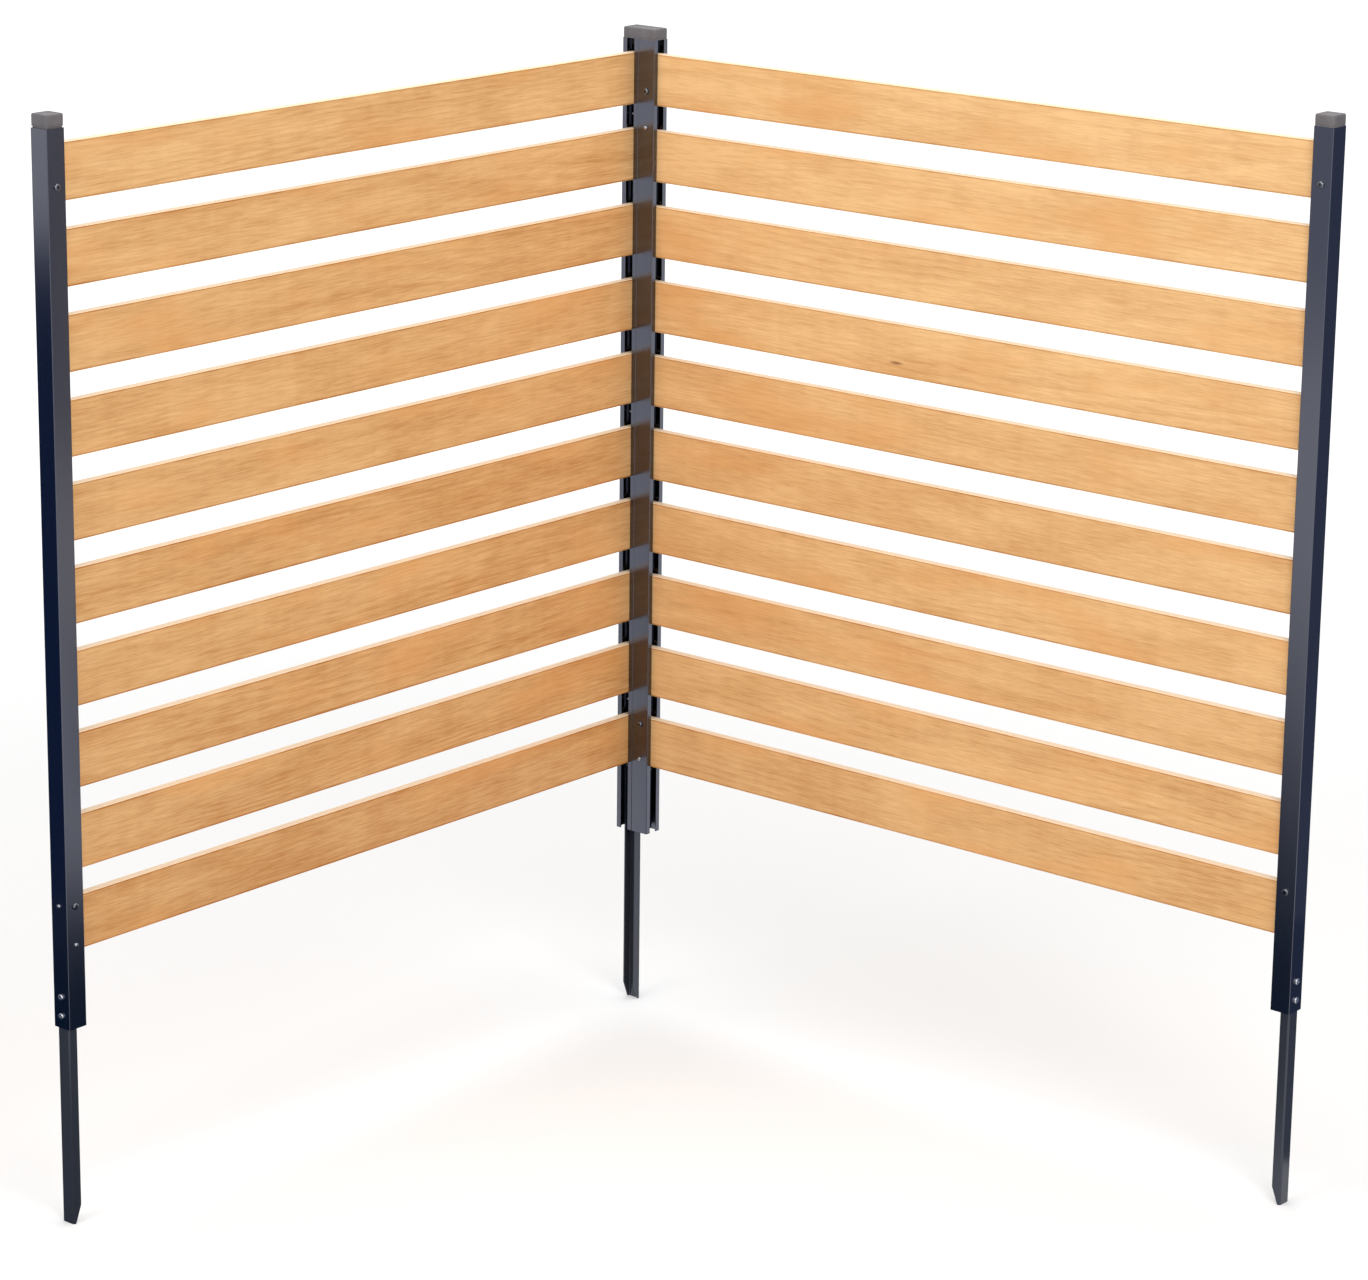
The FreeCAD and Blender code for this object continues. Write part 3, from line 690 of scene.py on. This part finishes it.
def makeHead(settings):
    radius, rise = settings["head"] / 2, settings["rise"]
    clearSelection()
    bpy.ops.mesh.primitive_cylinder_add(vertices=headSettings["sides"], radius=radius, depth=rise,
                                        location=(0, 0, rise / 2))
    head = bpy.context.object
    settle(head)
    pickEdges(head, lambda first, second: near(first.z, rise) and near(second.z, rise))
    bpy.ops.mesh.bevel(offset=rise * headSettings["dome"], segments=headSettings["domeSteps"],
                       profile=headSettings["domeProfile"], affect="EDGES")
    pickEdges(head, lambda first, second: near(first.z, 0) and near(second.z, 0))
    bpy.ops.mesh.bevel(offset=rise * headSettings["rim"], segments=headSettings["rimSteps"], affect="EDGES")
    bpy.ops.object.mode_set(mode="OBJECT")
    # the recess: two crossed wedges, narrower at the bottom
    arms = []
    armSize = (radius * headSettings["recessLength"], radius * headSettings["recessWidth"],
               rise * headSettings["recessDepth"])
    for angle in (0, 90):
        clearSelection()
        bpy.ops.mesh.primitive_cube_add(size=1, location=(0, 0, rise), scale=armSize)
        arm = bpy.context.object
        settle(arm)
        pickFaces(arm, lambda face: face.normal.z < -0.9)
        bpy.ops.transform.resize(value=(headSettings["floorLength"], headSettings["floorWidth"], 1))
        bpy.ops.object.mode_set(mode="OBJECT")
        arm.data.transform(Matrix.Rotation(math.radians(angle), 4, "Z"))
        arms.append(arm)
    for arm in arms:
        cut = head.modifiers.new("recess", "BOOLEAN")
        cut.operation = "DIFFERENCE"
        cut.solver = "EXACT"
        cut.object = arm
    applyModifiers(head)
    for arm in arms:
        bpy.data.objects.remove(arm)
    return head


# the thread is one tooth carried round the shank's axis by a screw modifier
def makeShank(settings):
    crest = settings["shank"] / 2
    core = crest * threadSettings["core"]
    root = core * threadSettings["root"]
    pitch = settings["pitch"]
    threaded = settings["length"] - settings["point"]
    turns = int(threaded / pitch)
    sides, overlap = threadSettings["sides"], threadSettings["overlap"]
    clearSelection()
    bpy.ops.mesh.primitive_cylinder_add(vertices=sides, radius=core, depth=threaded + 2 * overlap,
                                        location=(0, 0, overlap - threaded / 2))
    shank = bpy.context.object
    settle(shank)
    clearSelection()
    bpy.ops.mesh.primitive_cone_add(vertices=sides, radius1=core * threadSettings["tip"], radius2=core,
                                    depth=settings["point"],
                                    location=(0, 0, -threaded - settings["point"] / 2))
    point = bpy.context.object
    settle(point)
    clearSelection()
    # the tooth is a triangle in the XZ plane
    bpy.ops.mesh.primitive_circle_add(vertices=3, radius=1, fill_type="NGON")
    tooth = bpy.context.object
    flank = pitch * threadSettings["flank"]
    for vertex, (out, up) in zip(tooth.data.vertices, ((root, flank), (crest, 0.0), (root, -flank))):
        vertex.co = (out, 0, up - threaded + pitch / 2)
    screw = tooth.modifiers.new("thread", "SCREW")
    screw.screw_offset = pitch
    screw.iterations = max(turns - 1, 1)
    screw.steps = screw.render_steps = sides
    screw.use_merge_vertices = True
    screw.use_normal_calculate = True
    applyModifiers(tooth)
    for part in (shank, point):
        part.select_set(True)
    tooth.select_set(True)
    bpy.context.view_layer.objects.active = shank
    bpy.ops.object.join()
    return shank


def makeFastener(kind):
    settings = fastenerSettings[kind]
    head = makeHead(settings)
    shank = makeShank(settings)
    clearSelection()
    shank.select_set(True)
    head.select_set(True)
    bpy.context.view_layer.objects.active = head
    bpy.ops.object.join()
    bpy.ops.object.shade_smooth_by_angle(angle=math.radians(headSettings["smoothAngle"]))
    head.name = kind + "Master"
    return head


headDirections = {
    "+x": Matrix.Rotation(math.radians(90), 4, "Y"),
    "-x": Matrix.Rotation(math.radians(-90), 4, "Y"),
    "+y": Matrix.Rotation(math.radians(-90), 4, "X"),
    "-y": Matrix.Rotation(math.radians(90), 4, "X"),
}


def copyTo(master, places, name, node, material=bright):
    # one copy of the master at each place, joined to stand for the CAD node
    copies = []
    for spot, direction, spin in places:
        copy = master.copy()
        copy.data = master.data.copy()
        bpy.context.scene.collection.objects.link(copy)
        turn = headDirections[direction] @ Matrix.Rotation(math.radians(spin), 4, "Z")
        copy.data.transform(Matrix.Translation(spot) @ turn)
        copies.append(copy)
    clearSelection()
    for copy in copies:
        copy.select_set(True)
    bpy.context.view_layer.objects.active = copies[0]
    if len(copies) > 1:
        bpy.ops.object.join()
    finishPiece(bpy.context.view_layer.objects.active, name, material, node)


def facePoint(post, direction, height):
    # a point on the middle line of a post's face
    low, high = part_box(post)
    middle = (low + high) / 2
    axis = "xy".index(direction[1])
    spot = Vector((middle.x, middle.y, height))
    spot[axis] = high[axis] if direction[0] == "+" else low[axis]
    return spot


def endHeights(node, head):
    # heights of a node's lowest and highest fastener, from its box
    low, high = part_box(node)
    return low.z + head / 2, high.z - head / 2


def makeFasteners():
    masters = {kind: makeFastener(kind) for kind in fastenerSettings}
    head = {kind: settings["head"] for kind, settings in fastenerSettings.items()}
    step = {kind: settings["spin"] for kind, settings in fastenerSettings.items()}
    spin = headSettings["firstSpin"]
    for node, post, direction in (("left_end_slat_screws", "left_end_post", "+x"),
                                  ("left_corner_slat_screws", "left_corner_post", "-x"),
                                  ("right_corner_slat_screws", "right_corner_post", "-y"),
                                  ("right_end_slat_screws", "right_end_post", "-y")):
        places = [(facePoint(post, direction, height), direction, spin + step["slatScrew"] * number)
                  for number, height in enumerate(endHeights(node, head["slatScrew"]))]
        copyTo(masters["slatScrew"], places, node.split("_slat")[0] + "PanHeads", node, paintedShadeScrewSteel)
        spin += headSettings["postSpin"]
    for node, post, direction in (("left_end_lock_screw", "left_end_post", "+x"),
                                  ("right_corner_lock_screws", "right_corner_post", "-y")):
        low, high = endHeights(node, head["lockScrew"])
        heights = [low] if near(low, high, 0.01) else [low, high]   # the end post has only one
        places = [(facePoint(post, direction, height), direction, spin + step["lockScrew"] * number)
                  for number, height in enumerate(heights)]
        copyTo(masters["lockScrew"], places, node.split("_lock")[0] + "LockHeads", node)
    for node, post, direction in (("left_stake_bolts", "left_end_post", "-y"),
                                  ("corner_stake_bolts", "left_corner_post", "+y"),
                                  ("right_stake_bolts", "right_end_post", "+x")):
        places = [(facePoint(post, direction, height), direction, spin + step["stakeBolt"] * number)
                  for number, height in enumerate(endHeights(node, head["stakeBolt"]))]
        copyTo(masters["stakeBolt"], places, node.split("_bolts")[0] + "BoltHeads", node)
    grainHeight = sum(endHeights("left_end_grain_screw", head["grainScrew"])) / 2
    grainSpot = facePoint("left_end_post", "-y", grainHeight)
    copyTo(masters["grainScrew"], [(grainSpot, "-y", step["grainScrew"])],
           "leftEndGrainHead", "left_end_grain_screw")
    low, high = endHeights("corner_joining_screws", head["joiningScrew"])
    middle = (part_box("left_slat_05")[0].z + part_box("left_slat_06")[1].z) / 2
    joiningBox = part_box("corner_joining_screws")
    places = []
    for number, height in enumerate((low, middle, high)):
        spot = facePoint("left_corner_post", "-x", height)
        spot.y = (joiningBox[0].y + joiningBox[1].y) / 2
        places.append((spot, "-x", step["joiningScrew"] * number))
    copyTo(masters["joiningScrew"], places, "cornerJoiningHeads", "corner_joining_screws")
    for master in masters.values():
        bpy.data.objects.remove(master)


makeFasteners()
print("fasteners modelled")


# hexagon nuts with chamfered corners and a bore
nutSettings = {
    "flats": 0.008,
    "height": 0.004,
    "bore": 0.0025,
    "chamfer": 0.0006,
    "discShare": 1.01,          # of the corners' radius, for the disc that chamfers them
    "discSides": 48,
    "boreSides": 32,
    "firstSpin": 7,
    "spin": 19,
    "smoothAngle": 30,
}


def makeNut():
    corner = nutSettings["flats"] / 2 / math.cos(math.radians(30))
    height = nutSettings["height"]
    clearSelection()
    bpy.ops.mesh.primitive_cylinder_add(vertices=6, radius=corner, depth=height, location=(0, 0, height / 2))
    nut = bpy.context.object
    settle(nut)
    clearSelection()
    bpy.ops.mesh.primitive_cylinder_add(vertices=nutSettings["discSides"],
                                        radius=corner * nutSettings["discShare"],
                                        depth=height, location=(0, 0, height / 2))
    disc = bpy.context.object
    settle(disc)
    pickEdges(disc, lambda first, second: near(first.z, second.z))
    bpy.ops.mesh.bevel(offset=nutSettings["chamfer"], segments=1, affect="EDGES")
    bpy.ops.object.mode_set(mode="OBJECT")
    clearSelection()
    bpy.ops.mesh.primitive_cylinder_add(vertices=nutSettings["boreSides"], radius=nutSettings["bore"],
                                        depth=height * 2, location=(0, 0, height / 2))
    bore = bpy.context.object
    settle(bore)
    for operation, tool in (("INTERSECT", disc), ("DIFFERENCE", bore)):
        modifier = nut.modifiers.new(operation.lower(), "BOOLEAN")
        modifier.operation = operation
        modifier.solver = "EXACT"
        modifier.object = tool
    applyModifiers(nut)
    bpy.data.objects.remove(disc)
    bpy.data.objects.remove(bore)
    clearSelection()
    nut.select_set(True)
    bpy.ops.object.shade_smooth_by_angle(angle=math.radians(nutSettings["smoothAngle"]))
    return nut


def makeNuts():
    master = makeNut()
    for node, inward in (("left_stake_nuts", "+y"), ("corner_stake_nuts", "-y"), ("right_stake_nuts", "-x")):
        low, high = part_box(node)
        axis = "xy".index(inward[1])
        seat = low[axis] if inward[0] == "+" else high[axis]
        places = []
        bolts = endHeights(node.replace("nuts", "bolts"), fastenerSettings["stakeBolt"]["head"])
        for number, height in enumerate(bolts):
            spot = (low + high) / 2
            spot[axis] = seat
            spot.z = height
            places.append((spot, inward, nutSettings["firstSpin"] + nutSettings["spin"] * number))
        copyTo(master, places, node.split("_stake")[0] + "StakeNutPair", node)
    bpy.data.objects.remove(master)


makeNuts()
print("nuts modelled")


# floor, world and lamps
floorSettings = {
    "size": 90.0,
    "colour": (0.84, 0.84, 0.84, 1),
    "nearLift": 0.11,       # light of its own that only the camera sees, under the object
    "farLift": 0.60,        # and far away, where the lamps don't reach
    "liftStart": 1.2,
    "liftEnd": 6.0,
    # painted reflection: the floor that only glossy rays see is dark blue near the object and in a wing to
    # its left
    "paintedDarkReflection": (0.014, 0.04, 0.095, 1),
    "mirrorFar": (1.0, 1.0, 1.0, 1),
    "under": (0.3, 0.9),            # radii between which the floor that glossy rays see turns white
    "wing": (1.9, 2.6),             # and the same at the end of a dark wing to the object's left
    "wingWidth": (0.35, 0.8),
    "wingEnd": (-0.1, 0.4),         # where the wing stops on the object's right
}
worldSettings = {"ambient": 0.62}
lampSettings = {
    "key": {"at": (3.4, -1.9, 3.6), "size": 2.6, "power": 86},
    "fill": {"at": (-0.8, -4.6, 2.6), "size": 3.0, "power": 55},
    "top": {"at": (-0.4, 0.4, 4.6), "size": 3.4, "power": 80},
}


def makeFloor():
    clearSelection()
    bpy.ops.mesh.primitive_plane_add(size=floorSettings["size"], location=(0, 0, cadLow.z))
    floor = bpy.context.object
    floor.name = "paleFloor"
    material = bpy.data.materials.new("paleFloor")
    material.use_nodes = True
    tree = material.node_tree
    tree.nodes.clear()
    output = addNode(tree, "ShaderNodeOutputMaterial", at=(4, 0))
    path = addNode(tree, "ShaderNodeLightPath", at=(-4, 3))
    diffuse = addNode(tree, "ShaderNodeBsdfDiffuse", at=(-2, 0))
    diffuse.inputs["Color"].default_value = floorSettings["colour"]
    own = addNode(tree, "ShaderNodeEmission", at=(-2, -2))
    own.inputs["Color"].default_value = (1, 1, 1, 1)
    lit = addNode(tree, "ShaderNodeAddShader", at=(0, 0))
    tree.links.new(diffuse.outputs[0], lit.inputs[0])
    tree.links.new(own.outputs[0], lit.inputs[1])
    # painted reflection: glossy rays see a floor that is dark close by and white further off
    place = addNode(tree, "ShaderNodeNewGeometry", at=(-6, -4))
    distance = addNode(tree, "ShaderNodeVectorMath", at=(-5, -4), operation="LENGTH")
    tree.links.new(place.outputs["Position"], distance.inputs[0])
    lift = rangeNode(tree, distance.outputs["Value"], floorSettings["liftStart"], floorSettings["liftEnd"],
                     floorSettings["nearLift"], floorSettings["farLift"])
    tree.links.new(mathNode(tree, "MULTIPLY", path.outputs["Is Camera Ray"], lift), own.inputs["Strength"])
    clearOfUnder = rangeNode(tree, distance.outputs["Value"], *floorSettings["under"])
    clearOfWing = rangeNode(tree, distance.outputs["Value"], *floorSettings["wing"])
    parts = addNode(tree, "ShaderNodeSeparateXYZ", at=(-5, -6))
    tree.links.new(place.outputs["Position"], parts.inputs[0])
    # the panels lie along X and Y, so the photograph looks along their diagonal
    diagonal = math.sqrt(0.5)
    east, north = parts.outputs["X"], parts.outputs["Y"]
    forward = mathNode(tree, "MULTIPLY", mathNode(tree, "SUBTRACT", east, north), diagonal)
    sideways = mathNode(tree, "MULTIPLY", mathNode(tree, "ADD", east, north), diagonal)
    pastWing = rangeNode(tree, sideways, *floorSettings["wingEnd"])
    clearOfWing = mathNode(tree, "MAXIMUM", clearOfWing, pastWing)
    besideWing = rangeNode(tree, mathNode(tree, "ABSOLUTE", forward), *floorSettings["wingWidth"])
    far = mathNode(tree, "MINIMUM", clearOfUnder, mathNode(tree, "MAXIMUM", clearOfWing, besideWing))
    paintedFloorReflection = addNode(tree, "ShaderNodeEmission", at=(-2, -4))
    tree.links.new(mixColours(tree, far, floorSettings["paintedDarkReflection"], floorSettings["mirrorFar"]),
                   paintedFloorReflection.inputs["Color"])
    mixed = addNode(tree, "ShaderNodeMixShader", at=(2, 0))
    tree.links.new(path.outputs["Is Glossy Ray"], mixed.inputs[0])
    tree.links.new(lit.outputs[0], mixed.inputs[1])
    tree.links.new(paintedFloorReflection.outputs[0], mixed.inputs[2])
    tree.links.new(mixed.outputs[0], output.inputs["Surface"])
    floor.data.materials.append(material)


# painted reflections: glowing cards that only glossy rays see, placed for the camera's view,
# two for each end post's faces and one for the right stake
reflectionCardSettings = {
    "leftPostFront": {"at": (-1.49, -1.38), "facing": 221, "width": 0.9, "bottom": 0.02, "top": 1.12,
                      "colour": (0.02, 0.05, 0.15, 1)},
    "leftPostInner": {"at": (1.38, 1.15), "facing": 41, "width": 0.9, "bottom": 0.45, "top": 1.35,
                      "colour": (0.30, 0.36, 0.44, 1)},
    "rightPostFront": {"at": (-0.545, -1.33), "facing": 239, "width": 0.8, "bottom": 0.75, "top": 1.5,
                       "colour": (0.42, 0.45, 0.54, 1)},
    "rightPostOuter": {"at": (0.92, 1.09), "facing": 59, "width": 0.38, "bottom": 0.02, "top": 1.5,
                       "colour": (0.13, 0.16, 0.26, 1)},
    "rightStakeOuter": {"at": (0.68, 0.70), "facing": 59, "width": 0.2, "bottom": 0.0, "top": 0.36,
                        "colour": (0.08, 0.11, 0.20, 1)},
}


def makeReflectionCard(name, settings):
    height = settings["top"] - settings["bottom"]
    clearSelection()
    bpy.ops.mesh.primitive_plane_add(
        size=1, location=(*settings["at"], settings["bottom"] + height / 2),
        rotation=(math.radians(90), 0, math.radians(settings["facing"] - 90)))
    card = bpy.context.object
    card.name = name + "Flag"
    card.scale = (settings["width"], height, 1)
    card.visible_camera = card.visible_diffuse = card.visible_shadow = card.visible_transmission = False
    material = bpy.data.materials.new(card.name)
    material.use_nodes = True
    tree = material.node_tree
    tree.nodes.clear()
    output = addNode(tree, "ShaderNodeOutputMaterial", at=(1, 0))
    # the card glows with its colour, a painted reflection and no lamp
    reflectionGlow = addNode(tree, "ShaderNodeEmission", at=(-1, 0))
    reflectionGlow.inputs["Color"].default_value = settings["colour"]
    tree.links.new(reflectionGlow.outputs[0], output.inputs["Surface"])
    card.data.materials.append(material)


def makeWorld():
    world = bpy.data.worlds.new("studio")
    bpy.context.scene.world = world
    world.use_nodes = True
    tree = world.node_tree
    background = tree.nodes["Background"]
    path = addNode(tree, "ShaderNodeLightPath", at=(-4, 0))
    seen = mathNode(tree, "MAXIMUM", path.outputs["Is Camera Ray"], path.outputs["Is Glossy Ray"])
    strength = mathNode(tree, "MULTIPLY_ADD", seen, 1.0 - worldSettings["ambient"], worldSettings["ambient"])
    background.inputs["Color"].default_value = (1, 1, 1, 1)
    tree.links.new(strength, background.inputs["Strength"])


def addLamps():
    centre = (cadLow + cadHigh) / 2
    for name, settings in lampSettings.items():
        spot = Vector(settings["at"])
        turn = (centre - spot).to_track_quat("-Z", "Y").to_euler()
        bpy.ops.object.light_add(type="AREA", location=spot, rotation=turn)
        lamp = bpy.context.object
        lamp.name = name + "Lamp"
        lamp.data.shape = "DISK"
        lamp.data.size = settings["size"]
        lamp.data.energy = settings["power"]


makeFloor()
for cardName, oneCard in reflectionCardSettings.items():
    makeReflectionCard(cardName, oneCard)
makeWorld()
addLamps()
bpy.context.scene.view_settings.view_transform = "Standard"
print("stage lit")
